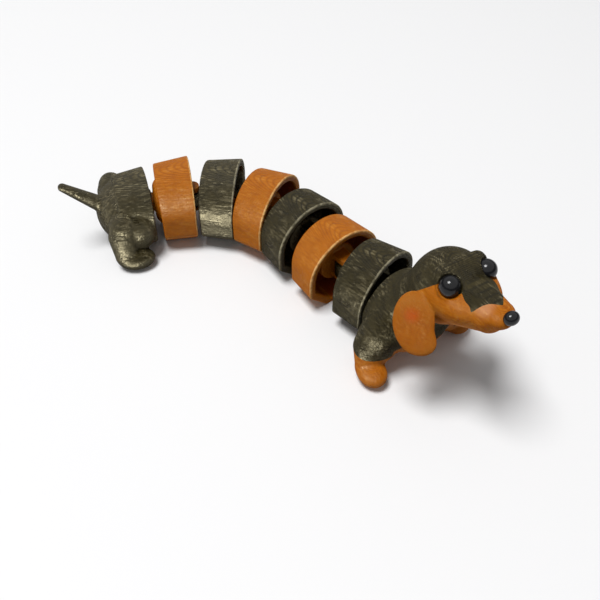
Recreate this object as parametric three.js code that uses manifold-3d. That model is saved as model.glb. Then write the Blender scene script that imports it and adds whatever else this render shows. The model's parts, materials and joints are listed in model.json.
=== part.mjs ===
// A print-in-place articulated dachshund toy: a rear body, six hoop-shaped rings and a front body with
// the head, joined in a row by seven upright hinges. Millimetres, +Z up, every flat underside at z = 0.
//
// Each link is modelled in its own frame: x runs forward along the dog, y to its left, z up, and the
// origin lies on the floor under the hinge at the link's rear end. The rear body has no hinge behind
// it, so its origin is under the hinge at its front end.
import * as THREE from "three";
import { mergeVertices } from "three/addons/utils/BufferGeometryUtils.js";
import Module from "manifold-3d";

const wasm = await Module();
wasm.setup();

// ---- driving dimensions ----------------------------------------------------------------------------
const PITCH = 15.2;             // hinge to hinge
const RING_REAR_RADIUS = 11.8;
const RING_FRONT_RADIUS = 12.9; // the hoops flare towards the head
const RING_WIDTH = 10.4;
const RING_CENTRE_HEIGHT = 11.8;
const CHAMFER = 5.9;            // 45 degree cut under each side, down to the flat
const RING_REAR_FACE = 4.4;     // from the hinge behind the ring to its rear face
const RING_FRONT_FACE = RING_REAR_FACE + RING_WIDTH;
const RIM_ROUNDING = 0.4;
const TOP_SPREAD = 0.4;         // how far each face of a hoop leans outward at its top
const WALL = 2.2;
const BACK_WALL = 3.0;

const PIN_RADIUS = 1.3;
const EYE_RADIUS = 3.2;
const EYE_HOLE_RADIUS = 1.7;
const EYE_HEIGHT = 4.4;
const TONGUE_WIDTH = 4.4;
const TONGUE_THICKNESS = 2.0;
const TONGUE_GAP = 0.3;
const ARM_WIDTH = 4.4;
const BOSS_RADIUS = 6.2;
const BOSS_CLEARANCE = 0.4;     // between the boss and the next link's eye
const CONE_START = 2.7;         // the rear connector's cone, from the hinge behind the link
const CONE_TIP_RADIUS = 4.6;
const CONE_ROOT_RADIUS = 7.6;

const COLLAR_LENGTH = 8.0;      // front body, behind the shoulders
const REAR_COLLAR_LENGTH = 9.0; // rear body, in front of the rump
const REAR_COLLAR_SCALE = 0.93; // the rear body's hoop is a little smaller than a ring's front
const REAR_COLLAR_ADVANCE = 1.4; // and its open face lies a little closer to the hinge
const SOCK_HEIGHT = 7.5;        // below this the front body is orange
const CHEST_HALF_WIDTH = 10.4;  // the orange between the two front legs
const PIECE_GAP = 0.3;          // between pieces that touch
const ROOT_OVERLAP = 0.5;       // how far a connector is rooted in the wall it grows from

const EYE_BEAD_RADIUS = 2.7;
const EYE_BEAD = [28.7, 5.4, 42.9];
const EAR = [25.5, 11.5, 29.7];
const EAR_HALF_AXES = [5.6, 1.5, 8.4];
const EAR_SWEEP = 22;           // degrees the ear's tip swings forward
const EAR_SPLAY = 16;           // degrees its tip stands away from the neck
const EAR_FLARE = 32;           // degrees its rear edge turns outward
const NOSE = [43.9, 0, 43.3];
const NOSE_HALF_AXES = [1.7, 2.0, 1.75];

const ARC_STEPS = 16;           // facets round the top half of a hoop
const POST_STEPS = 14;
const BALL_COLUMNS = 12;
const BALL_ROWS = 7;

// Bend of each hinge in the resting pose, in degrees, from the tail to the head; 0 is a straight dog.
const REST_BENDS = [-6, -18.5, -22, -21.5, -2, 11.5, -19];
const TAIL_HEADING = 18;

// ---- materials -------------------------------------------------------------------------------------
function plastic(colour, roughness) {
  return new THREE.MeshStandardMaterial({ color: colour, roughness, metalness: 0 });
}
const darkPlastic = plastic(0x4d4a3c, 0.45);
const orangePlastic = plastic(0xb4691f, 0.45);
const glossBlack = plastic(0x0b0b0c, 0.12);

// ---- solids ----------------------------------------------------------------------------------------
function solidOf(geometry) {
  geometry.deleteAttribute("normal");
  geometry.deleteAttribute("uv");
  const merged = mergeVertices(geometry, 1e-5);
  const vertProperties = new Float32Array(merged.attributes.position.array);
  const triVerts = new Uint32Array(merged.index.array);
  return new wasm.Manifold(new wasm.Mesh({ numProp: 3, vertProperties, triVerts }));
}

function nodeOf(name, solid, material) {
  const { vertProperties, triVerts } = solid.getMesh();
  const geometry = new THREE.BufferGeometry();
  geometry.setAttribute("position", new THREE.BufferAttribute(new Float32Array(vertProperties), 3));
  geometry.setIndex(new THREE.BufferAttribute(new Uint32Array(triVerts), 1));
  geometry.computeVertexNormals();
  const mesh = new THREE.Mesh(geometry, material);
  mesh.name = name;
  return mesh;
}

function joined(solids) {
  return solids.reduce((sum, next) => sum.add(next));
}

function block([x0, y0, z0], [x1, y1, z1]) {
  const geometry = new THREE.BoxGeometry(x1 - x0, y1 - y0, z1 - z0);
  geometry.translate((x0 + x1) / 2, (y0 + y1) / 2, (z0 + z1) / 2);
  return solidOf(geometry);
}

// An egg shape: centre, half-axes, and a nose-up tilt about the cross axis in degrees.
function egg([x, y, z], [rx, ry, rz], tilt = 0) {
  const geometry = new THREE.SphereGeometry(1, BALL_COLUMNS, BALL_ROWS);
  geometry.rotateX(Math.PI / 2);
  geometry.scale(rx, ry, rz);
  geometry.rotateY(-THREE.MathUtils.degToRad(tilt));
  geometry.translate(x, y, z);
  return solidOf(geometry);
}

// A round limb that tapers from one ball to another.
function limb(from, to, fromRadius, toRadius) {
  const a = new THREE.Vector3(...from);
  const b = new THREE.Vector3(...to);
  const along = b.clone().sub(a);
  const shaft = new THREE.CylinderGeometry(toRadius, fromRadius, along.length(), BALL_COLUMNS);
  const turn = new THREE.Quaternion();
  turn.setFromUnitVectors(new THREE.Vector3(0, 1, 0), along.clone().normalize());
  shaft.applyQuaternion(turn);
  shaft.translate(...a.clone().add(b).multiplyScalar(0.5).toArray());
  const ends = [egg(from, [fromRadius, fromRadius, fromRadius]), egg(to, [toRadius, toRadius, toRadius])];
  return joined([solidOf(shaft), ...ends]);
}

function post(x, radius, z0, z1) {
  const geometry = new THREE.CylinderGeometry(radius, radius, z1 - z0, POST_STEPS);
  geometry.rotateX(Math.PI / 2);
  geometry.translate(x, 0, (z0 + z1) / 2);
  return solidOf(geometry);
}

// A round block lying along x, at the height of the hoops' centre.
function drum(x0, x1, radius0, radius1) {
  const geometry = new THREE.CylinderGeometry(radius1, radius0, x1 - x0, BALL_COLUMNS);
  geometry.rotateZ(-Math.PI / 2);
  geometry.translate((x0 + x1) / 2, 0, RING_CENTRE_HEIGHT);
  return solidOf(geometry);
}

function aboveFloor(solid) {
  return solid.subtract(block([-60, -60, -30], [80, 60, 0]));
}

// The outline of a hoop seen from the front: round on top, upright sides, 45 degree cuts, flat below.
function hoopOutline(radius, floor) {
  const centre = RING_CENTRE_HEIGHT;
  const cut = CHAMFER * (radius / RING_REAR_RADIUS);
  const outline = new THREE.Shape();
  outline.moveTo(-radius + cut, floor);
  outline.lineTo(radius - cut, floor);
  outline.lineTo(radius, floor + cut);
  outline.lineTo(radius, centre);
  outline.absarc(0, centre, radius, 0, Math.PI, false);
  outline.lineTo(-radius, floor + cut);
  return outline;
}

// A hoop-shaped slab from x0 to x1, drawn at the rear radius and then flared towards the front.
function hoopSlab(x0, x1, shrink, rounding) {
  const depth = x1 - x0 - 2 * rounding;
  const geometry = new THREE.ExtrudeGeometry(hoopOutline(RING_REAR_RADIUS - shrink, shrink), {
    depth,
    curveSegments: ARC_STEPS,
    bevelEnabled: rounding > 0,
    bevelThickness: rounding,
    bevelSize: rounding,
    bevelOffset: -rounding,
    bevelSegments: 1,
  });
  geometry.translate(0, 0, x0 + rounding);
  const position = geometry.attributes.position;
  for (let i = 0; i < position.count; i += 1) {
    const forward = position.getZ(i);
    const share = (forward - RING_REAR_FACE) / RING_WIDTH;
    const flare = 1 + share * (RING_FRONT_RADIUS / RING_REAR_RADIUS - 1);
    const rise = (position.getY(i) - RING_CENTRE_HEIGHT) * flare;
    const lean = (share - 0.5) * 2 * TOP_SPREAD * Math.max(rise, 0) / RING_REAR_RADIUS;
    position.setXYZ(i, forward + lean, position.getX(i) * flare, Math.max(RING_CENTRE_HEIGHT + rise, shrink));
  }
  return solidOf(geometry);
}

// ---- the hinge -------------------------------------------------------------------------------------
const EYE_BOTTOM = RING_CENTRE_HEIGHT - EYE_HEIGHT / 2;
const EYE_TOP = RING_CENTRE_HEIGHT + EYE_HEIGHT / 2;

// The rear connector: an eye round the hinge, an arm, and a cone that grows into the rear face.
function rearConnector() {
  const cone = drum(CONE_START, RING_REAR_FACE + ROOT_OVERLAP, CONE_TIP_RADIUS, CONE_ROOT_RADIUS);
  const arm = block([0, -ARM_WIDTH / 2, EYE_BOTTOM + 0.4], [RING_REAR_FACE, ARM_WIDTH / 2, EYE_TOP - 0.4]);
  const eye = post(0, EYE_RADIUS, EYE_BOTTOM, EYE_TOP);
  return joined([eye, arm, cone]);
}

function eyeHole() {
  return post(0, EYE_HOLE_RADIUS, EYE_BOTTOM - 1, EYE_TOP + 1);
}

function tongue(hinge, root, z0) {
  const z1 = z0 + TONGUE_THICKNESS;
  const plate = block([root, -TONGUE_WIDTH / 2, z0], [hinge, TONGUE_WIDTH / 2, z1]);
  return plate.add(post(hinge, TONGUE_WIDTH / 2, z0, z1));
}

// The fork that holds the next link's eye: two tongues from the back wall and the upright pin.
function frontFork(hinge, root) {
  const lower = EYE_BOTTOM - TONGUE_GAP - TONGUE_THICKNESS;
  const upper = EYE_TOP + TONGUE_GAP;
  const pin = post(hinge, PIN_RADIUS, lower + 1, upper + 1);
  return joined([tongue(hinge, root, lower), tongue(hinge, root, upper), pin]);
}

// ---- the links -------------------------------------------------------------------------------------
// The open front of a link whose front hinge is at the given x: a bay with a round boss on its back wall.
function openFront(shell, hinge, shift, scale) {
  const bay = hoopSlab(RING_REAR_FACE + BACK_WALL, RING_FRONT_FACE + 2, WALL, 0);
  const floorOfBay = RING_REAR_FACE + BACK_WALL + shift;
  const bossFace = hinge - EYE_RADIUS - BOSS_CLEARANCE;
  const boss = drum(floorOfBay - ROOT_OVERLAP, bossFace, BOSS_RADIUS, BOSS_RADIUS);
  const open = shell.subtract(bay.scale([1, scale, scale]).translate([shift, 0, 0]));
  return joined([open, boss, frontFork(hinge, floorOfBay - ROOT_OVERLAP)]);
}

function ring() {
  const shell = hoopSlab(RING_REAR_FACE, RING_FRONT_FACE, 0, RIM_ROUNDING);
  const open = openFront(shell, PITCH, 0, 1);
  return open.add(rearConnector()).subtract(eyeHole());
}

function rearBody() {
  const shift = REAR_COLLAR_ADVANCE - PITCH;
  const hoop = hoopSlab(RING_FRONT_FACE - REAR_COLLAR_LENGTH, RING_FRONT_FACE, 0, RIM_ROUNDING);
  const shell = hoop.scale([1, REAR_COLLAR_SCALE, REAR_COLLAR_SCALE]).translate([shift, 0, 0]);
  const rump = egg([-7.0, 0, 10.6], [8.8, 10.9, 10.0]);
  const limbs = [-1, 1].flatMap((side) => [
    egg([-9.0, side * 9.0, 13.0], [5.2, 5.2, 5.8]),
    egg([-4.6, side * 9.4, 9.4], [5.6, 5.0, 6.4]),
    limb([-9.4, side * 11.6, 9.6], [-9.4, side * 14.0, 4.2], 4.6, 3.8),
    egg([-6.5, side * 15.2, 3.0], [5.6, 3.8, 3.2]),
  ]);
  const tail = limb([-13.2, 0, 14.4], [-23.6, 0, 23.8], 2.7, 1.4);
  const whole = joined([shell, rump, tail, ...limbs]);
  return openFront(aboveFloor(whole), 0, shift, REAR_COLLAR_SCALE);
}

// Every solid of the front body before it is divided by colour, grown by a clearance where asked.
function frontTorso() {
  const collarEnd = RING_REAR_FACE + COLLAR_LENGTH;
  const collar = hoopSlab(RING_REAR_FACE, collarEnd, 0, RIM_ROUNDING);
  const chest = egg([12.6, 0, 13.2], [8.0, 11.6, 10.4]);
  const neck = limb([12.0, 0, 18.0], [18.6, 0, 29.5], 8.4, 7.4);
  return joined([collar, chest, neck]);
}

function frontLeg(side) {
  const reach = side < 0 ? 16.4 : 12.6;
  const shoulder = egg([12.3, side * 11.6, 11.2], [5.8, 5.5, 8.4]);
  const shin = limb([12.2, side * 14.2, 9.0], [reach - 2.4, side * 15.6, 4.2], 4.6, 3.7);
  const paw = egg([reach, side * 15.8, 3.3], [4.8, 4.0, 3.5]);
  return joined([shoulder, shin, paw]);
}

function skull(grow) {
  const brain = egg([23.8, 0, 37.2], [9.6 + grow, 8.9 + grow, 8.4 + grow]);
  const brow = egg([26.0, 0, 41.6], [4.6 + grow, 7.0 + grow, 3.7 + grow], 6);
  const muzzle = limb([28.8, 0, 38.6], [40.8, 0, 41.4], 5.9 + grow, 3.4 + grow);
  const jaw = limb([24.5, 0, 32.8], [37.6, 0, 37.6], 6.8 + grow, 3.8 + grow);
  return joined([brain, brow, muzzle, jaw]);
}

// The side of the paint line that is orange: below a plane that climbs to the nose, ahead of the ears.
function faceSide(lift) {
  const wedge = block([-30, -30, -40], [45, 30, lift]);
  const turned = wedge.rotate([0, -24, 0]).translate([20, 0, 37.5]);
  return turned.subtract(block([-60, -60, -60], [17.5 - lift, 60, 100]));
}

function ear(side) {
  const flap = new THREE.SphereGeometry(1, BALL_COLUMNS, BALL_ROWS);
  flap.rotateX(Math.PI / 2);
  flap.scale(...EAR_HALF_AXES);
  flap.rotateZ(THREE.MathUtils.degToRad(-side * EAR_FLARE));
  flap.rotateY(THREE.MathUtils.degToRad(-EAR_SWEEP));
  flap.rotateX(THREE.MathUtils.degToRad(side * EAR_SPLAY));
  flap.translate(EAR[0], side * EAR[1], EAR[2]);
  return solidOf(flap);
}

function bead(side, grow) {
  const radius = EYE_BEAD_RADIUS + grow;
  return egg([EYE_BEAD[0], side * EYE_BEAD[1], EYE_BEAD[2]], [radius, radius, radius]);
}

function noseCap(grow) {
  return egg(NOSE, NOSE_HALF_AXES.map((half) => half + grow));
}

function frontPieces() {
  const torso = frontTorso();
  const legs = joined([frontLeg(-1), frontLeg(1)]);
  const above = block([-60, -60, SOCK_HEIGHT], [80, 60, 80]);
  const sockets = joined([bead(-1, PIECE_GAP), bead(1, PIECE_GAP), noseCap(PIECE_GAP)]);
  const head = skull(0).subtract(sockets);
  const face = head.intersect(faceSide(0)).subtract(torso.add(skull(0).intersect(torso)));
  const upper = joined([torso, legs]).intersect(above);
  const darkHead = head.subtract(faceSide(PIECE_GAP));
  const grownFace = faceSide(PIECE_GAP).intersect(skull(PIECE_GAP));
  const body = joined([upper.subtract(grownFace), darkHead, rearConnector()]).subtract(eyeHole());
  const sockTop = SOCK_HEIGHT - PIECE_GAP;
  const chestRear = RING_REAR_FACE + 2;
  const middle = block([chestRear, -CHEST_HALF_WIDTH, 0], [60, CHEST_HALF_WIDTH, sockTop]);
  const outer = (side) => {
    const near = side * (CHEST_HALF_WIDTH + PIECE_GAP);
    const far = side * 40;
    return block([-60, Math.min(near, far), 0], [80, Math.max(near, far), sockTop]);
  };
  const chestPatch = joined([torso, legs]).intersect(middle);
  const collarFoot = torso.intersect(block([0, -60, 0], [chestRear - PIECE_GAP, 60, SOCK_HEIGHT + 1]));
  return {
    front_body: [body.add(collarFoot), darkPlastic],
    face: [face, orangePlastic],
    chest_patch: [chestPatch, orangePlastic],
    right_front_paw: [frontLeg(-1).intersect(outer(-1)), orangePlastic],
    left_front_paw: [frontLeg(1).intersect(outer(1)), orangePlastic],
    right_ear: [ear(-1).subtract(skull(PIECE_GAP)), orangePlastic],
    left_ear: [ear(1).subtract(skull(PIECE_GAP)), orangePlastic],
    right_eye: [bead(-1, 0), glossBlack],
    left_eye: [bead(1, 0), glossBlack],
    nose: [noseCap(0), glossBlack],
  };
}

// ---- the assembly ----------------------------------------------------------------------------------
const toy = new THREE.Group();
let link = new THREE.Group();
link.rotation.z = THREE.MathUtils.degToRad(TAIL_HEADING);
link.add(nodeOf("rear_body", rearBody(), darkPlastic));
toy.add(link);

let hingeAhead = 0;
REST_BENDS.forEach((bend, index) => {
  const next = new THREE.Group();
  next.name = `hinge_${index + 1}`;
  next.position.x = hingeAhead;
  next.rotation.z = THREE.MathUtils.degToRad(bend);
  link.add(next);
  link = next;
  hingeAhead = PITCH;
  if (index < REST_BENDS.length - 1) {
    const material = index % 2 === 0 ? orangePlastic : darkPlastic;
    link.add(nodeOf(`ring_${index + 1}`, ring(), material));
  }
});
for (const [name, [solid, material]] of Object.entries(frontPieces())) {
  link.add(nodeOf(name, solid, material));
}

// The toy stands on the floor with the middle of its outline over the origin.
toy.updateMatrixWorld(true);
const outline = new THREE.Box3().setFromObject(toy, true);
toy.position.set(-(outline.min.x + outline.max.x) / 2, -(outline.min.y + outline.max.y) / 2, -outline.min.z);

export default toy;
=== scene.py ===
"""The finished look of a 3D-printed articulated toy dachshund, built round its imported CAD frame.

Every link is shaped in its own frame, in millimetres: x forward along the dog, y to its left, z up, and
the origin on the floor under the hinge behind the link (for the rear body, under the hinge ahead of it).
"""
import json
import math

import bmesh
import bpy
import numpy as np
from mathutils import Matrix, Vector


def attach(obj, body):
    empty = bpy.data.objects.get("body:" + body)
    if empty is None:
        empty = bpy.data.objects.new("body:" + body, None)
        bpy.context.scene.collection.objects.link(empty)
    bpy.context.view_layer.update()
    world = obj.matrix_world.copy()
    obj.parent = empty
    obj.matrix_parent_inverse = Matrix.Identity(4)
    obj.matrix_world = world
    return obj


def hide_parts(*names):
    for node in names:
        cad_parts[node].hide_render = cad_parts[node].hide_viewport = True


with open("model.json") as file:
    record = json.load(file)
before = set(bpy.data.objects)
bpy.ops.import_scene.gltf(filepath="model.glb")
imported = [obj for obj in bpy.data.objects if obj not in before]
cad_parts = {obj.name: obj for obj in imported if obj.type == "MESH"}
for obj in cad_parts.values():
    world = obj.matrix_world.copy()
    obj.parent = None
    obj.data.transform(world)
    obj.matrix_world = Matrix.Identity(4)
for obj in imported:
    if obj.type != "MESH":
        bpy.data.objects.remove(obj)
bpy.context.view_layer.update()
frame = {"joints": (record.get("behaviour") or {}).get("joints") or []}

# ---- dimensions, in millimetres --------------------------------------------------------------------
MM = 0.001
PITCH = 15.2
RING_REAR_RADIUS = 11.8
RING_FRONT_RADIUS = 12.9
RING_CENTRE_HEIGHT = 11.8
RING_REAR_FACE = 4.4
RING_FRONT_FACE = 14.8
CHAMFER = 5.9
RIM_ROUNDING = 0.5
TOP_SPREAD = 0.4
WALL = 2.2
BAY_FLOOR = 7.4

PIN_RADIUS = 1.3
BOSS_CLEARANCE = 0.4
EYE_RADIUS = 3.2
EYE_HOLE_RADIUS = 1.7
EYE_BOTTOM = 9.6
EYE_TOP = 14.0
TONGUE_HALF_WIDTH = 2.2
TONGUE_THICKNESS = 2.0
TONGUE_GAP = 0.3
ARM_HALF_WIDTH = 2.2
BOSS_RADIUS = 6.2
CONE_START = 2.7
CONE_TIP_RADIUS = 4.6
CONE_ROOT_RADIUS = 7.6
ROOT_OVERLAP = 0.5              # how deep the cone, boss and fork are rooted in the wall that carries them

REAR_COLLAR_SCALE = 0.93
REAR_COLLAR_ADVANCE = 1.4
REAR_COLLAR_LENGTH = 9.4
FRONT_COLLAR_LENGTH = 8.0

BEND_AT_FIRST_HINGE = -6.0      # degrees, from the rear body to the first ring
BEND_AT_LAST_HINGE = -19.0      # degrees, from the last ring to the front body

BEAD_CENTRE = (28.7, 5.4, 42.9)
BEAD_RADIUS = 2.7
BEAD_AXIS = (0.5, 0.55, 0.67)
NOSE_CENTRE = (43.9, 0.0, 43.3)
NOSE_HALF_AXES = (1.7, 2.0, 1.75)

PLATE_DEPTH = 0.4               # how deep each orange area goes into the dark body
GRID_STEP = 0.34
GRID_STEP_FINE = 0.26           # for the front body
EDGE_ROUNDING = 0.3             # of posts and blocks
SLOPE_REACH = 0.02              # half the distance over which a gradient is measured

# ---- distances to simple solids --------------------------------------------------------------------
# Each takes an array of points, one a row, and gives each point's distance, negative inside.


def turned(axis, degrees):
    """The rotation about a named axis, as a 3 by 3 array that takes points as rows."""
    return np.array(Matrix.Rotation(math.radians(degrees), 3, axis))


def join(a, b, blend):
    """The union of two distances, with a fillet about as wide as blend."""
    share = np.clip(0.5 + 0.5 * (b - a) / blend, 0, 1)
    return b * (1 - share) + a * share - blend * share * (1 - share)


def common(a, b, blend):
    """What two distances have in common, with rounded edges."""
    return -join(-a, -b, blend)


def egg(p, centre, half_axes):
    q = p - np.array(centre)
    r = np.array(half_axes, float)
    outer = np.sqrt(((q / r) ** 2).sum(1))
    inner = np.sqrt(((q / (r * r)) ** 2).sum(1)) + 1e-9
    return outer * (outer - 1) / inner


def limb(p, start, end, start_radius, end_radius):
    a = np.array(start, float)
    b = np.array(end, float)
    along = b - a
    share = np.clip(((p - a) @ along) / (along @ along), 0, 1)
    radius = start_radius + (end_radius - start_radius) * share
    return np.linalg.norm(p - (a + share[:, None] * along), axis=1) - radius


def post(p, x, radius, bottom, top):
    """An upright round post."""
    side = np.hypot(p[:, 0] - x, p[:, 1]) - radius
    ends = np.maximum(bottom - p[:, 2], p[:, 2] - top)
    return common(side, ends, EDGE_ROUNDING)


def block(p, low, high):
    centre = (np.array(low) + np.array(high)) / 2
    half = (np.array(high) - np.array(low)) / 2
    q = np.abs(p - centre) - half
    return common(common(q[:, 0], q[:, 1], EDGE_ROUNDING), q[:, 2], EDGE_ROUNDING)


def mirrored(p):
    """The points with their left half folded onto the right, where y is negative."""
    q = p.copy()
    q[:, 1] = -np.abs(q[:, 1])
    return q


# ---- hoops and hinges ------------------------------------------------------------------------------
def hoop_radius(x):
    share = (x - RING_REAR_FACE) / (RING_FRONT_FACE - RING_REAR_FACE)
    return RING_REAR_RADIUS + (RING_FRONT_RADIUS - RING_REAR_RADIUS) * share


def hoop(p, start, end, shrink=0.0, rounding=RIM_ROUNDING, scale=1.0, advance=0.0):
    """A hoop's solid: round top, upright sides, slanted lower edges and a flat underside."""
    x = p[:, 0] - advance
    y = np.abs(p[:, 1]) / scale
    rise = p[:, 2] / scale - RING_CENTRE_HEIGHT
    radius = hoop_radius(x) - shrink
    chamfer = CHAMFER * radius / RING_REAR_RADIUS
    floor = shrink - RING_CENTRE_HEIGHT
    upper = np.hypot(y, rise) - radius
    lower = y - radius
    slant = (y - (rise - floor) - (radius - chamfer)) / math.sqrt(2)
    side = np.where(rise > 0, upper, common(lower, slant, 0.6))
    outline = common(side, floor - rise, 0.4)
    lean = TOP_SPREAD * np.maximum(rise, 0) / RING_REAR_RADIUS
    middle = (start + end) / 2
    ends = np.abs(x - middle) - (end - start) / 2 - lean
    return common(outline * scale, ends, rounding)


def rear_connector(p):
    """The eye that closes round the pin of the link behind, its arm, and the cone at its root."""
    eye = post(p, 0, EYE_RADIUS, EYE_BOTTOM, EYE_TOP)
    arm = block(p, (0, -ARM_HALF_WIDTH, EYE_BOTTOM + 0.4), (RING_REAR_FACE, ARM_HALF_WIDTH, EYE_TOP - 0.4))
    root = RING_REAR_FACE + ROOT_OVERLAP
    share = np.clip((p[:, 0] - CONE_START) / (root - CONE_START), 0, 1)
    radius = CONE_TIP_RADIUS + (CONE_ROOT_RADIUS - CONE_TIP_RADIUS) * np.sqrt(share)
    side = np.hypot(p[:, 1], p[:, 2] - RING_CENTRE_HEIGHT) - radius
    ends = np.maximum(CONE_START - p[:, 0], p[:, 0] - root)
    return join(join(eye, arm, 0.4), common(side, ends, 0.8), 0.5)


def fork(p, hinge, root):
    """Two tongues and the upright pin between them."""
    lower = EYE_BOTTOM - TONGUE_GAP - TONGUE_THICKNESS
    upper = EYE_TOP + TONGUE_GAP
    solid = post(p, hinge, PIN_RADIUS, lower + 1, upper + 1)
    for bottom in (lower, upper):
        top = bottom + TONGUE_THICKNESS
        plate = block(p, (root, -TONGUE_HALF_WIDTH, bottom), (hinge, TONGUE_HALF_WIDTH, top))
        tongue = np.minimum(plate, post(p, hinge, TONGUE_HALF_WIDTH, bottom, top))
        solid = join(solid, tongue, 0.3)
    return solid


def open_front(p, solid, hinge, advance=0.0, scale=1.0):
    """Hollows a link's front into an open bay, with the boss and the fork on its back wall."""
    bay = hoop(p, BAY_FLOOR, RING_FRONT_FACE + 3, WALL, 0.3, scale, advance)
    foot = BAY_FLOOR + advance - ROOT_OVERLAP
    boss_side = np.hypot(p[:, 1], p[:, 2] - RING_CENTRE_HEIGHT) - BOSS_RADIUS
    boss_face = hinge - EYE_RADIUS - BOSS_CLEARANCE
    boss = common(boss_side, np.maximum(foot - p[:, 0], p[:, 0] - boss_face), 0.5)
    return np.minimum(join(common(solid, -bay, 0.6), boss, 0.4), fork(p, hinge, foot))


def ring_shape(p):
    shell = hoop(p, RING_REAR_FACE, RING_FRONT_FACE)
    solid = join(open_front(p, shell, PITCH), rear_connector(p), 0.4)
    return np.maximum(solid, -post(p, 0, EYE_HOLE_RADIUS, EYE_BOTTOM - 1, EYE_TOP + 1))


# ---- the rear body ---------------------------------------------------------------------------------
def rear_shape(p):
    right = mirrored(p)
    advance = REAR_COLLAR_ADVANCE - PITCH
    collar = hoop(p, RING_FRONT_FACE - REAR_COLLAR_LENGTH, RING_FRONT_FACE, 0, RIM_ROUNDING,
                  REAR_COLLAR_SCALE, advance)
    solid = join(collar, egg(p, (-7.0, 0, 10.6), (8.6, 10.7, 9.8)), 1.6)
    solid = join(solid, egg(right, (-4.1, -10.2, 9.4), (5.15, 4.8, 6.0)), 0.5)
    solid = join(solid, egg(right, (-9.0, -10.4, 12.4), (4.2, 4.6, 4.8)), 0.5)
    solid = join(solid, limb(right, (-9.4, -11.6, 9.6), (-9.4, -14.0, 4.2), 4.5, 3.7), 1.0)
    solid = join(solid, egg(right, (-6.5, -15.2, 3.0), (5.5, 3.7, 3.1)), 0.9)
    solid = join(solid, limb(p, (-13.2, 0, 14.4), (-23.6, 0, 23.8), 2.6, 1.3), 0.8)
    solid = common(solid, -p[:, 2], 0.3)
    return open_front(p, solid, 0, advance, REAR_COLLAR_SCALE)


# ---- the front body --------------------------------------------------------------------------------
EAR_TURN = turned("X", -16) @ turned("Y", -22) @ turned("Z", 32)
EAR_CENTRE = (25.6, -11.5, 30.3)


def ear_shape(p):
    """Both ears: broad drops that hang from the head, flared outward at the rear edge."""
    q = (mirrored(p) - np.array(EAR_CENTRE)) @ EAR_TURN
    drop = egg(q, (-0.4, 0, 0.4), (5.3, 1.5, 7.9))
    lobe = egg(q, (1.5, 0, -4.4), (4.3, 1.4, 3.9))
    return join(drop, lobe, 1.5)


def head_shape(p):
    right = mirrored(p)
    solid = egg(p, (23.8, 0, 37.2), (9.4, 8.8, 8.3))
    solid = join(solid, limb(p, (25.6, -4.9, 43.9), (25.6, 4.9, 43.9), 2.2, 2.2), 1.2)
    solid = join(solid, limb(p, (28.8, 0, 38.6), (40.8, 0, 41.4), 5.9, 3.4), 3.0)
    solid = join(solid, limb(p, (24.5, 0, 32.8), (37.6, 0, 37.6), 6.8, 3.8), 2.5)
    solid = join(solid, egg(right, (29.4, -4.4, 38.0), (6.4, 3.5, 5.0)), 2.0)
    brow_plane = (45.6 - 0.62 * (p[:, 0] - 26.4) - p[:, 2]) * 0.85
    bridge_plane = (43.5 + 0.114 * (p[:, 0] - 31.0) - p[:, 2]) * 0.99
    return common(solid, -np.maximum(brow_plane, bridge_plane), 0.2)


def body_shape(p):
    right = mirrored(p)
    collar_end = RING_REAR_FACE + FRONT_COLLAR_LENGTH
    solid = hoop(p, RING_REAR_FACE, collar_end)
    solid = join(solid, egg(p, (12.6, 0, 13.2), (7.8, 11.4, 10.2)), 2.5)
    solid = join(solid, egg(right, (12.3, -11.6, 11.2), (5.8, 5.4, 8.4)), 2.2)
    for side, reach in ((-1, 16.4), (1, 12.6)):
        leg = limb(p, (12.2, side * 14.2, 9.0), (reach - 2.4, side * 15.6, 4.2), 4.5, 3.6)
        paw = egg(p, (reach, side * 15.8, 3.3), (4.8, 4.0, 3.5))
        solid = join(join(solid, leg, 1.8), paw, 1.0)
    return join(solid, limb(p, (12.0, 0, 18.0), (19.0, 0, 30.5), 8.4, 7.7), 4.0)


def front_shape(p):
    head = np.minimum(head_shape(p), 60)
    solid = join(join(body_shape(p), head, 5.0), ear_shape(p), 0.8)
    right = mirrored(p)
    bead = np.array(BEAD_CENTRE) * (1, -1, 1)
    outward = np.array(BEAD_AXIS) * (1, -1, 1)
    lid = egg(right, bead - 0.7 * outward, (BEAD_RADIUS + 0.6,) * 3)
    bowl = egg(right, bead + 1.5 * outward, (BEAD_RADIUS + 0.4,) * 3)
    solid = common(join(solid, lid, 0.8), -bowl, 0.25)
    solid = common(solid, -p[:, 2], 0.3)
    solid = join(solid, rear_connector(p), 0.4)
    return np.maximum(solid, -post(p, 0, EYE_HOLE_RADIUS, EYE_BOTTOM - 1, EYE_TOP + 1))


# ---- surfaces from distances -----------------------------------------------------------------------
COARSE = 4                      # grid steps to one step of the first, rough grid


def sampled(shape, low, counts, step):
    """The shape's distances on a grid, exact near the surface and rough away from it."""
    coarse_counts = (counts - 1) // COARSE + 1
    axes = [low[i] + step * COARSE * np.arange(coarse_counts[i]) for i in range(3)]
    grid = np.stack(np.meshgrid(*axes, indexing="ij"), -1).reshape(-1, 3)
    coarse = shape(grid).reshape(coarse_counts)
    near = np.abs(coarse) < step * COARSE * 2.2
    cells = np.zeros(coarse_counts - 1, bool)
    for corner in np.ndindex(2, 2, 2):
        cells |= near[tuple(slice(c, c + n) for c, n in zip(corner, coarse_counts - 1))]
    wanted = np.zeros(counts, bool)
    spread = cells.repeat(COARSE, 0).repeat(COARSE, 1).repeat(COARSE, 2)
    for corner in np.ndindex(2, 2, 2):
        wanted[tuple(slice(c, c + n) for c, n in zip(corner, counts - 1))] |= spread
    nearest = [(np.arange(n) + COARSE // 2) // COARSE for n in counts]
    values = coarse[np.ix_(*nearest)].copy()
    places = np.argwhere(wanted)
    values[wanted] = shape(low + step * places)
    return values


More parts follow.
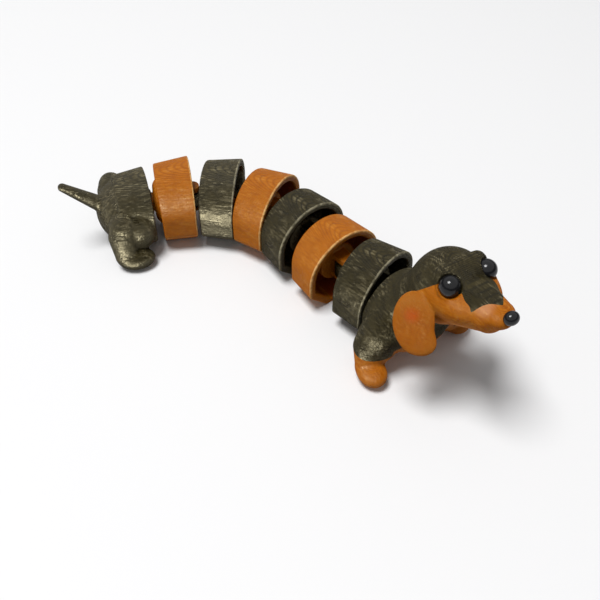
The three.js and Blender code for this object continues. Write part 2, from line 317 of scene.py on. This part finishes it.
def surface(shape, low, high, step):
    """Closed quads on the shape's zero surface, from surface nets pulled onto the true surface."""
    low = np.array(low, float)
    coarse_cells = np.ceil((np.array(high) - low) / (step * COARSE)).astype(int)
    counts = coarse_cells * COARSE + 1
    values = sampled(shape, low, counts, step)
    inside = values < 0
    filled = np.zeros(counts - 1, np.int8)
    for corner in np.ndindex(2, 2, 2):
        filled += inside[tuple(slice(c, c + n) for c, n in zip(corner, counts - 1))]
    active = (filled > 0) & (filled < 8)
    cells = np.argwhere(active)
    index = np.full(counts - 1, -1)
    index[active] = np.arange(len(cells))
    total = np.zeros((len(cells), 3))
    crossings = np.zeros(len(cells))
    for a in np.ndindex(2, 2, 2):
        for axis in range(3):
            if a[axis]:
                continue
            b = list(a)
            b[axis] = 1
            at_a = values[tuple((cells + np.array(a)).T)]
            at_b = values[tuple((cells + np.array(b)).T)]
            crossed = (at_a < 0) != (at_b < 0)
            share = np.where(crossed, at_a / np.where(crossed, at_a - at_b, 1), 0)
            spot = np.array(a) + share[:, None] * (np.array(b) - np.array(a))
            total[crossed] += spot[crossed]
            crossings[crossed] += 1
    points = low + step * (cells + total / crossings[:, None])
    quads = []
    for axis in range(3):
        u = np.eye(3, dtype=int)[(axis + 1) % 3]
        v = np.eye(3, dtype=int)[(axis + 2) % 3]
        first = [slice(None)] * 3
        second = [slice(None)] * 3
        first[axis] = slice(0, counts[axis] - 1)
        second[axis] = slice(1, counts[axis])
        here = inside[tuple(first)]
        edges = np.argwhere(here != inside[tuple(second)])
        loop = [index[tuple((edges - d).T)] for d in (u + v, v, 0 * u, u)]
        faces = np.stack(loop, 1)
        outward = here[tuple(edges.T)]
        faces[~outward] = faces[~outward][:, ::-1]
        quads.append(faces)
    points = settled(shape, points, step)
    return points, np.concatenate(quads)


def slope(shape, points):
    """The shape's gradient at each point."""
    rows = []
    for axis in range(3):
        offset = np.zeros(3)
        offset[axis] = SLOPE_REACH
        rows.append((shape(points + offset) - shape(points - offset)) / (2 * SLOPE_REACH))
    return np.stack(rows, 1)


def settled(shape, points, step):
    """The points moved onto the zero surface, none by more than half a step."""
    moved = points
    for _ in range(2):
        gradient = slope(shape, moved)
        length = (gradient ** 2).sum(1) + 1e-6
        change = gradient * (shape(moved) / length)[:, None]
        size = np.linalg.norm(change, axis=1)[:, None] + 1e-9
        moved = moved - change * np.minimum(1, 0.5 * step / size)
    return moved


# ---- colour areas of the front body ----------------------------------------------------------------
SOCK_TOP = 8.6
CHEST_TOP = 10.6
CHEST_HALF_WIDTH = 10.4
CHEST_REAR = 6.4
BLAZE_HALF_WIDTH = 4.7          # the dark patch on the snout, ahead of the eyes
BLAZE_TIP = 40.6
BLAZE_TAPER = 1.03
BLAZE_BOTTOM = 39.5
FACE_REAR = 20.8
FACE_BOTTOM = 27.0


def face_field(p):
    """Negative where the face is orange."""
    x, y, z = p.T
    behind_eye = ((z - 37.5) * 5.4 - (x - 22.2) * 6.5) / 8.45
    behind_cheek = FACE_REAR - x
    blaze = np.clip((BLAZE_TIP - x) * BLAZE_TAPER, -2, BLAZE_HALF_WIDTH) - np.abs(y)
    above = np.minimum(blaze, z - BLAZE_BOTTOM)
    ripple = 0.12 * np.sin(1.9 * x + 0.6)
    return np.maximum.reduce([behind_eye, behind_cheek, above + ripple, FACE_BOTTOM - z])


def ear_field(p):
    return ear_shape(p) - 0.3


def chest_field(p):
    x, y, z = p.T
    return np.maximum.reduce([np.abs(y) - CHEST_HALF_WIDTH, z - CHEST_TOP, CHEST_REAR - x])


def paw_field(p):
    x, y, z = p.T
    return np.maximum.reduce([CHEST_HALF_WIDTH + 0.02 - np.abs(y), z - SOCK_TOP, CHEST_REAR - x])


def cut(points, triangles, labels, values, label):
    """Splits the triangles along the field's zero line, and labels the free ones on its negative side."""
    values = np.where(np.abs(values) < 1e-4, 1e-4, values)
    corners = triangles[:, [0, 1, 1, 2, 2, 0]].reshape(-1, 2)
    crossed = (values[corners[:, 0]] < 0) != (values[corners[:, 1]] < 0)
    unique, place = np.unique(np.sort(corners[crossed], axis=1), axis=0, return_inverse=True)
    first, second = values[unique[:, 0]], values[unique[:, 1]]
    share = (first / (first - second))[:, None]
    added = points[unique[:, 0]] * (1 - share) + points[unique[:, 1]] * share
    middle = np.full(len(corners), -1)
    middle[crossed] = len(points) + place.reshape(-1)
    middle = middle.reshape(-1, 3)
    below = values[triangles] < 0
    count = below.sum(1)
    whole = (count == 0) | (count == 3)
    made = [(triangles[whole], labels[whole], count[whole] == 3)]
    for lone in range(3):
        for sign in (True, False):
            rows = (count == (1 if sign else 2)) & (below[:, lone] == sign)
            a, b, c = triangles[rows][:, [lone, (lone + 1) % 3, (lone + 2) % 3]].T
            ab, ca = middle[rows][:, [lone, (lone + 2) % 3]].T
            for corner_set, side in (((a, ab, ca), sign), ((ab, b, c), not sign), ((ab, c, ca), not sign)):
                made.append((np.stack(corner_set, 1), labels[rows], np.full(len(a), side)))
    triangles, labels, inside = (np.concatenate(column) for column in zip(*made))
    return np.concatenate([points, added]), triangles, np.where(inside & (labels < 0), label, labels)


def boundary(triangles):
    """The directed edges that only one of these triangles has."""
    edges = triangles[:, [0, 1, 1, 2, 2, 0]].reshape(-1, 2)
    key = edges[:, 0].astype(np.int64) * (edges.max() + 1) + edges[:, 1]
    back = edges[:, 1].astype(np.int64) * (edges.max() + 1) + edges[:, 0]
    return edges[~np.isin(key, back)]


def plate(triangles, inner):
    """A closed plate: these outer triangles, their copy at the inner points, and a rim."""
    rim = boundary(triangles)
    u, v = rim.T
    sides = np.concatenate([np.stack([v, u, u + inner], 1), np.stack([v, u + inner, v + inner], 1)])
    return np.concatenate([triangles, triangles[:, ::-1] + inner, sides])


def host(own, plates, inner):
    """What is left of the body: its own outer triangles and a recess under every plate."""
    parts = [own]
    for triangles in plates:
        u, v = boundary(triangles).T
        parts.append(triangles + inner)
        parts.append(np.concatenate([np.stack([u, v, u + inner], 1),
                                     np.stack([v, v + inner, u + inner], 1)]))
    return np.concatenate(parts)


# ---- materials -------------------------------------------------------------------------------------
LINK_PLACE = "link_place"       # each vertex keeps its place in the link's own frame, in metres


class Shader:
    """A Principled material with a small kit for building its patterns in the piece's own frame."""

    def __init__(self, name, roughness, **constants):
        self.material = bpy.data.materials.new(name)
        self.material.use_nodes = True
        self.tree = self.material.node_tree
        self.principled = self.tree.nodes["Principled BSDF"]
        self.principled.inputs["Roughness"].default_value = roughness
        for socket, value in constants.items():
            self.principled.inputs[socket.replace("_", " ")].default_value = value
        attribute = self.tree.nodes.new("ShaderNodeAttribute")
        attribute.attribute_name = LINK_PLACE
        self.place = attribute.outputs["Vector"]

    def node(self, kind, inputs=(), **settings):
        made = self.tree.nodes.new(kind)
        for key, value in settings.items():
            setattr(made, key, value)
        for socket, value in dict(inputs).items():
            if isinstance(value, bpy.types.NodeSocket):
                self.tree.links.new(value, made.inputs[socket])
            else:
                made.inputs[socket].default_value = value
        return made

    def math(self, operation, a, b=0.0):
        return self.node("ShaderNodeMath", {0: a, 1: b}, operation=operation).outputs[0]

    def hypot(self, a, b):
        squares = self.math("ADD", self.math("MULTIPLY", a, a), self.math("MULTIPLY", b, b))
        return self.math("SQRT", squares)

    def stretched(self, scale):
        """The piece's own coordinates, multiplied per axis."""
        return self.node("ShaderNodeVectorMath", {0: self.place, 1: scale}, operation="MULTIPLY").outputs[0]

    def noise(self, scale, detail=3.0, roughness=0.55, distortion=0.0):
        """Noise with features about 1 / scale metres long on each axis."""
        return self.node("ShaderNodeTexNoise", {
            "Vector": self.stretched(scale), "Scale": 1.0, "Detail": detail,
            "Roughness": roughness, "Distortion": distortion}).outputs[0]

    def ramp(self, value, low, high, at_low=0.0, at_high=1.0):
        return self.node("ShaderNodeMapRange", {
            "Value": value, "From Min": low, "From Max": high, "To Min": at_low, "To Max": at_high},
            interpolation_type="SMOOTHSTEP").outputs[0]

    def mix(self, share, a, b):
        made = self.node("ShaderNodeMix", data_type="RGBA")
        for socket, value in ((made.inputs[0], share), (made.inputs[6], a), (made.inputs[7], b)):
            if isinstance(value, bpy.types.NodeSocket):
                self.tree.links.new(value, socket)
            else:
                socket.default_value = value
        return made.outputs[2]

    def near(self, centre, radius, softness):
        """1 within radius millimetres of a point of the piece's own frame, fading out."""
        offset = self.node("ShaderNodeVectorMath", {
            0: self.place, 1: tuple(c * MM for c in centre)}, operation="DISTANCE").outputs["Value"]
        return self.ramp(offset, radius * MM, (radius + softness) * MM, 1.0, 0.0)

    def set(self, socket, value):
        self.tree.links.new(value, self.principled.inputs[socket])

    def bump(self, height, distance, strength):
        made = self.node("ShaderNodeBump", {"Height": height, "Distance": distance, "Strength": strength})
        self.set("Normal", made.outputs[0])


LAYER = 0.00024                 # thickness of a drawn layer line, in metres
REAR_SHINE = 0.6                # the dark links at the tail end are glossier than the front ones

# on the rings, in millimetres: where the painted rim highlight and the painted shade of the bay begin and
# where they are full
RIM_FORWARD = (14.25, 14.5)
RIM_AWAY = (12.0, 12.3)         # from the ring's axis
BAY_DEPTH = (7.0, 7.4)
BAY_BOSS_EDGE = (6.1, 6.5)      # from the ring's axis
BAY_WALL = (10.4, 10.9)         # from the ring's axis, where the red ends


def printed(shader, base, light, deep, roughness, bump, contrast=1.0):
    """The look of printed plastic: layer lines, blotches, pale hatched painted glints, dark hatched painted
    shade, and painted shade along each layer step.
    """
    height = shader.node("ShaderNodeSeparateXYZ", {0: shader.place}).outputs[2]
    layers = shader.math("FRACT", shader.math("DIVIDE", height, LAYER))
    banding = shader.noise((40, 40, 1100), 2.0)
    blotch = shader.noise((260, 260, 260), 3.0)
    hatch = shader.noise((330, 1700, 1300), 2.0, 0.6, 0.5)
    hatch_area = shader.noise((150, 150, 150), 1.0)
    painted_glint = shader.math("MULTIPLY", shader.ramp(hatch, 0.5, 0.62), shader.ramp(hatch_area, 0.42, 0.6))
    tone = shader.math("ADD", shader.math("MULTIPLY", blotch, 0.6), shader.math("MULTIPLY", banding, 0.4))
    colour = shader.mix(shader.ramp(tone, 0.36, 0.62, 1.0 - 0.6 * contrast), deep, base)
    # Painted highlight: glints along the hatch strokes, lightened toward the given light colour.
    colour = shader.mix(shader.math("MULTIPLY", painted_glint, 0.6 * contrast), colour, light)
    # Painted shade: where the hatch is low, the colour is darkened toward the deep colour.
    colour = shader.mix(shader.ramp(hatch, 0.5, 0.36, 0.0, 0.6 * contrast), colour, deep)
    rough = shader.math("ADD", shader.ramp(blotch, 0.3, 0.7, roughness - 0.06, roughness + 0.08),
                        shader.math("MULTIPLY", painted_glint, -0.12))
    shader.set("Roughness", rough)
    wander = shader.math("MULTIPLY", shader.noise((420, 420, 420), 2.0), 1.2)
    relief = shader.math("ADD", shader.math("MULTIPLY", layers, -1.0),
                         shader.math("MULTIPLY", banding, 0.6))
    relief = shader.math("ADD", relief, shader.math("ADD", wander, shader.math("MULTIPLY", hatch, 0.7)))
    shader.bump(relief, LAYER, bump)
    # Painted shade: darker along the step of every layer line.
    edge = shader.ramp(shader.math("ABSOLUTE", shader.math("SUBTRACT", layers, 0.5)), 0.2, 0.45)
    colour = shader.mix(shader.math("MULTIPLY", edge, 0.85 * contrast), colour, deep)
    return colour


def painted_rim_highlight(shader, colour, pale):
    """Adds a painted highlight: a paler line round the outer edge of a ring's open front."""
    x, y, z = shader.node("ShaderNodeSeparateXYZ", {0: shader.place}).outputs
    rise = shader.math("MAXIMUM", shader.math("SUBTRACT", z, RING_CENTRE_HEIGHT * MM), 0.0)
    away = shader.hypot(rise, y)
    lean = shader.math("MULTIPLY", rise, TOP_SPREAD / RING_REAR_RADIUS)
    forward = shader.math("SUBTRACT", x, lean)
    line = shader.math("MULTIPLY", shader.ramp(forward, RIM_FORWARD[0] * MM, RIM_FORWARD[1] * MM),
                       shader.ramp(away, RIM_AWAY[0] * MM, RIM_AWAY[1] * MM))
    broken = shader.ramp(shader.noise((900, 900, 900), 1.0), 0.35, 0.6, 0.3, 0.85)
    return shader.mix(shader.math("MULTIPLY", line, broken), colour, pale)


def rgb(r, g, b):
    return (r, g, b, 1.0)


def dark_material(name, rim=False, shine=0.30):
    """Olive grey-brown printed plastic, with or without the painted highlight round a ring's open front."""
    shader = Shader(name, 0.38, Specular_IOR_Level=shine, Specular_Tint=rgb(1.0, 0.88, 0.55))
    colour = printed(shader, rgb(0.028, 0.021, 0.006), rgb(0.19, 0.16, 0.09),
                     rgb(0.003, 0.0022, 0.0006), 0.31, 1.2)
    if rim:
        colour = painted_rim_highlight(shader, colour, rgb(0.30, 0.27, 0.18))
    shader.set("Base Color", colour)
    return shader.material


def orange_shader(name, subsurface=0.06, roughness=0.38, shine=0.32):
    """Ochre orange printed plastic that lets a little light through, and its colour."""
    shader = Shader(name, 0.4, Specular_IOR_Level=shine, Specular_Tint=rgb(1.0, 0.82, 0.5),
                    Subsurface_Weight=subsurface, Subsurface_Scale=0.0012)
    shader.principled.inputs["Subsurface Radius"].default_value = (1.0, 0.35, 0.12)
    colour = printed(shader, rgb(0.42, 0.125, 0.004), rgb(0.60, 0.26, 0.04), rgb(0.24, 0.052, 0.001),
                     roughness, 0.8, 0.5)
    return shader, colour


def ring_orange():
    """Orange with painted shade inside the open front: deep red over the bay's floor and inner walls, out
    from the boss.
    """
    shader, colour = orange_shader("orange_ring")
    x, y, z = shader.node("ShaderNodeSeparateXYZ", {0: shader.place}).outputs
    rise = shader.math("SUBTRACT", z, RING_CENTRE_HEIGHT * MM)
    away = shader.hypot(rise, y)
    inside = shader.math("MULTIPLY", shader.ramp(away, BAY_WALL[0] * MM, BAY_WALL[1] * MM, 1.0, 0.0),
                         shader.ramp(away, BAY_BOSS_EDGE[0] * MM, BAY_BOSS_EDGE[1] * MM))
    deep_enough = shader.ramp(x, BAY_DEPTH[0] * MM, BAY_DEPTH[1] * MM)
    inside = shader.math("MULTIPLY", inside, deep_enough)
    # Painted shade: deep red over the bay's floor and walls.
    colour = shader.mix(inside, colour, rgb(0.27, 0.040, 0.004))
    shader.set("Base Color", painted_rim_highlight(shader, colour, rgb(0.70, 0.42, 0.16)))
    return shader.material


def face_material():
    """Orange with paler blotches and a pinkish highlight on the bridge of the snout."""
    shader, colour = orange_shader("orange_face", shine=0.2)
    flush = shader.noise((160, 160, 160), 2.0)
    colour = shader.mix(shader.ramp(flush, 0.5, 0.68, 0.0, 0.3), colour, rgb(0.50, 0.19, 0.03))
    bridge = shader.near((37.6, -2.6, 43.2), 1.0, 3.0)
    pinkish = shader.math("MULTIPLY", bridge, 0.45)
    shader.set("Base Color", shader.mix(pinkish, colour, rgb(0.66, 0.33, 0.18)))
    return shader.material


def ear_material(name, side):
    """More even and matt than the face, with painted light: lighter toward the outer edge and a red hot
    spot near the top.
    """
    shader, colour = orange_shader(name, 0.12, 0.55, 0.14)
    colour = shader.mix(0.5, colour, rgb(0.27, 0.068, 0.003))
    # Painted light: lighter toward the ear's outer edge, away from this point, where light shines through
    # the thin flap.
    rim = shader.near((25.5, side * 12.4, 29.4), 3.4, 5.0)
    colour = shader.mix(rim, rgb(0.36, 0.115, 0.010), colour)
    # Painted light: a red hot spot near the top of the ear, where light shines through it.
    spot = shader.near((25.2, side * 12.6, 33.2), 0.2, 2.8)
    painted_glow = shader.math("MULTIPLY", spot, 0.8)
    shader.set("Base Color", shader.mix(painted_glow, colour, rgb(0.42, 0.06, 0.002)))
    return shader.material


def paw_material():
    shader, colour = orange_shader("orange_paws")
    shader.set("Base Color", colour)
    return shader.material


def gloss_material():
    """Enamel of the eyes and nose: glossy, with faint ripples."""
    shader = Shader("black_enamel", 0.12, Specular_IOR_Level=0.3)
    ripple = shader.noise((700, 700, 700), 2.0)
    shader.set("Base Color", shader.mix(ripple, rgb(0.004, 0.004, 0.005), rgb(0.010, 0.010, 0.011)))
    shader.set("Roughness", shader.ramp(ripple, 0.3, 0.7, 0.10, 0.2))
    shader.bump(ripple, 0.00015, 0.25)
    return shader.material


def floor_material():
    """A pale, faintly wrinkled sheet."""
    shader = Shader("pale_sheet", 0.7, Specular_IOR_Level=0.3)
    wrinkles = shader.noise((330, 330, 330), 4.0, 0.6, 0.3)
    broad = shader.noise((60, 60, 60), 2.0)
    shader.set("Base Color", shader.mix(wrinkles, rgb(0.80, 0.80, 0.805), rgb(0.86, 0.86, 0.865)))
    relief = shader.math("ADD", shader.math("MULTIPLY", wrinkles, 0.7), shader.math("MULTIPLY", broad, 0.6))
    shader.bump(relief, 0.0007, 0.6)
    return shader.material


# ---- placing the pieces ----------------------------------------------------------------------------
hinges = [Vector(next(j for j in frame["joints"] if j["name"] == f"hinge_{k}")["pos_m"])
          for k in range(1, 8)]


def heading(start, end):
    return math.degrees(math.atan2(end.y - start.y, end.x - start.x))


ring_headings = [heading(a, b) for a, b in zip(hinges, hinges[1:])]


def link_frame(hinge, degrees):
    return Matrix.Translation((hinge.x, hinge.y, 0)) @ Matrix.Rotation(math.radians(degrees), 4, "Z")


frames = [link_frame(hinges[0], ring_headings[0] - BEND_AT_FIRST_HINGE)]
frames += [link_frame(h, d) for h, d in zip(hinges, ring_headings)]
frames.append(link_frame(hinges[6], ring_headings[5] + BEND_AT_LAST_HINGE))
REAR, FRONT = 0, 7


def mesh_of(name, points, faces, link):
    """A smooth-shaded mesh from a link's millimetre points, without the points that no face uses."""
    used, again = np.unique(faces, return_inverse=True)
    mesh = bpy.data.meshes.new(name)
    size = faces.shape[1]
    mesh.vertices.add(len(used))
    local = points[used] * MM
    turn = np.array(frames[link].to_3x3())
    world_places = local @ turn.T + np.array(frames[link].translation)
    mesh.vertices.foreach_set("co", world_places.astype(np.float32).ravel())
    mesh.loops.add(faces.size)
    mesh.loops.foreach_set("vertex_index", again.reshape(-1).astype(np.int32))
    mesh.polygons.add(len(faces))
    mesh.polygons.foreach_set("loop_start", np.arange(0, faces.size, size, dtype=np.int32))
    mesh.update(calc_edges=True)
    mesh.polygons.foreach_set("use_smooth", np.ones(len(faces), bool))
    mesh.set_sharp_from_angle(angle=math.radians(50))
    places = mesh.attributes.new(LINK_PLACE, "FLOAT_VECTOR", "POINT")
    places.data.foreach_set("vector", local.astype(np.float32).ravel())
    return mesh


def place(node, body, mesh, material, slot):
    """Puts a mesh in the scene as the finished look of one CAD node."""
    mesh.materials.append(material)
    piece = bpy.data.objects.new(f"{node}_finished", mesh)
    bpy.context.scene.collection.objects.link(piece)
    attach(piece, body)
    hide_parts(node)


def triangles_of(quads):
    return np.concatenate([quads[:, [0, 1, 2]], quads[:, [0, 2, 3]]])


dark = dark_material("dark_printed")
dark_glossy = dark_material("dark_glossy", shine=REAR_SHINE)
dark_ring = dark_material("dark_ring", rim=True)
glossy_ring = dark_material("glossy_ring", rim=True, shine=REAR_SHINE)
orange_ring = ring_orange()
points, quads = surface(ring_shape, (-4.5, -14, -0.6), (18.8, 14, 26), GRID_STEP)
for number in range(1, 7):
    orange = number % 2
    mesh = mesh_of(f"ring_{number}_mesh", points, quads, number)
    slot = "orange_plastic" if orange else "dark_plastic"
    finish = orange_ring if orange else (glossy_ring if number == 2 else dark_ring)
    place(f"ring_{number}", f"ring_{number}", mesh, finish, slot)

points, quads = surface(rear_shape, (-26.5, -20, -0.6), (3.6, 20, 27), GRID_STEP)
place("rear_body", "rear_body", mesh_of("rear_body_mesh", points, quads, REAR), dark_glossy,
      "dark_plastic")

points, quads = surface(front_shape, (-4.5, -21, -0.6), (47, 21, 47.5), GRID_STEP_FINE)
triangles = triangles_of(quads)
areas = {
    "right_ear": lambda p: np.maximum(ear_field(p), p[:, 1]),
    "left_ear": lambda p: np.maximum(ear_field(p), -p[:, 1]),
    "face": face_field,
    "chest_patch": chest_field,
    "right_front_paw": lambda p: np.maximum(paw_field(p), p[:, 1]),
    "left_front_paw": lambda p: np.maximum(paw_field(p), -p[:, 1]),
}
labels = np.full(len(triangles), -1)
for number, field in enumerate(areas.values()):
    points, triangles, labels = cut(points, triangles, labels, field(points), number)
normals = slope(front_shape, points)
normals /= np.linalg.norm(normals, axis=1)[:, None] + 1e-9
inner = len(points)
all_points = np.concatenate([points, points - PLATE_DEPTH * normals])
plates = {name: triangles[labels == number] for number, name in enumerate(areas)}
finishes = {
    "right_ear": ear_material("orange_right_ear", -1),
    "left_ear": ear_material("orange_left_ear", 1),
    "face": face_material(),
}
paws = paw_material()
for name, outer in plates.items():
    mesh = mesh_of(f"{name}_mesh", all_points, plate(outer, inner), FRONT)
    place(name, "front_body", mesh, finishes.get(name, paws), "orange_plastic")
own = host(triangles[labels < 0], list(plates.values()), inner)
place("front_body", "front_body", mesh_of("front_body_mesh", all_points, own, FRONT), dark, "dark_plastic")

gloss = gloss_material()


def ball(name, centre, half_axes):
    """An egg-shaped bead of smooth facets."""
    form = bmesh.new()
    bmesh.ops.create_icosphere(form, subdivisions=5, radius=1.0)
    points = np.array([v.co for v in form.verts]) * half_axes + centre
    faces = np.array([[v.index for v in f.verts] for f in form.faces])
    form.free()
    place(name, "front_body", mesh_of(f"{name}_mesh", points, faces, FRONT), gloss, "black_gloss")


for name, side in (("right_eye", -1), ("left_eye", 1)):
    ball(name, (BEAD_CENTRE[0], side * BEAD_CENTRE[1], BEAD_CENTRE[2]), (BEAD_RADIUS,) * 3)
ball("nose", NOSE_CENTRE, NOSE_HALF_AXES)

# ---- floor, light and camera -----------------------------------------------------------------------
REACH = 3.0                     # of the floor from its middle, in metres
ROOM_LIGHT = 0.31
ROOM_IN_REFLECTIONS = 0.95      # the room is brighter in reflections than as a light
KEY_POSITION = (-0.36, -0.14, 1.45)
KEY_TARGET = (0.01, 0.0, 0.02)
KEY_DIAMETER = 0.62
KEY_POWER = 21.4                # watts

floor_mesh = bpy.data.meshes.new("floor_mesh")
floor_corners = [(-REACH, -REACH, 0), (REACH, -REACH, 0), (REACH, REACH, 0), (-REACH, REACH, 0)]
floor_mesh.from_pydata(floor_corners, [], [(0, 1, 2, 3)])
floor_mesh.materials.append(floor_material())
floor = bpy.data.objects.new("floor", floor_mesh)
bpy.context.scene.collection.objects.link(floor)

world = bpy.data.worlds.new("bright_room")
bpy.context.scene.world = world
world.use_nodes = True
nodes, links = world.node_tree.nodes, world.node_tree.links
direction = nodes.new("ShaderNodeTexCoord").outputs["Generated"]
parts = nodes.new("ShaderNodeSeparateXYZ")
links.new(direction, parts.inputs[0])
ramp = nodes.new("ShaderNodeValToRGB")
links.new(parts.outputs[2], ramp.inputs[0])
ramp.color_ramp.elements[0].position = 0.28
ramp.color_ramp.elements[0].color = (0.14, 0.14, 0.145, 1)
ramp.color_ramp.elements[1].position = 0.46
ramp.color_ramp.elements[1].color = (1.0, 1.0, 1.0, 1)
links.new(ramp.outputs[0], nodes["Background"].inputs["Color"])
ray = nodes.new("ShaderNodeLightPath")
strength = nodes.new("ShaderNodeMapRange")
links.new(ray.outputs["Is Glossy Ray"], strength.inputs["Value"])
strength.inputs["To Min"].default_value = ROOM_LIGHT
strength.inputs["To Max"].default_value = ROOM_IN_REFLECTIONS
links.new(strength.outputs[0], nodes["Background"].inputs["Strength"])


def area_light(name, location, target, size, power):
    data = bpy.data.lights.new(name, "AREA")
    data.shape = "DISK"
    data.size = size
    data.energy = power
    lamp = bpy.data.objects.new(name, data)
    bpy.context.scene.collection.objects.link(lamp)
    lamp.location = location
    lamp.rotation_euler = (Vector(target) - Vector(location)).to_track_quat("-Z", "Y").to_euler()


area_light("key", KEY_POSITION, KEY_TARGET, KEY_DIAMETER, KEY_POWER)

AIM_FROM_HINGE_4 = (5.744 * MM, -35.284 * MM, 10.56 * MM)
ELEVATION = 47.1                # degrees
DISTANCE = 227.2 * MM
aim = hinges[3].copy()
aim.z = 0
aim += Vector(AIM_FROM_HINGE_4)
camera_data = bpy.data.cameras.new("camera")
camera_data.lens = 48
camera_data.sensor_width = 36
camera_data.clip_start = 0.01
camera = bpy.data.objects.new("camera", camera_data)
bpy.context.scene.collection.objects.link(camera)
rise = math.radians(ELEVATION)
camera.location = aim + DISTANCE * Vector((0, -math.cos(rise), math.sin(rise)))
camera.rotation_euler = (math.pi / 2 - rise, 0, 0)
bpy.context.scene.camera = camera
bpy.context.scene.view_settings.view_transform = "Standard"
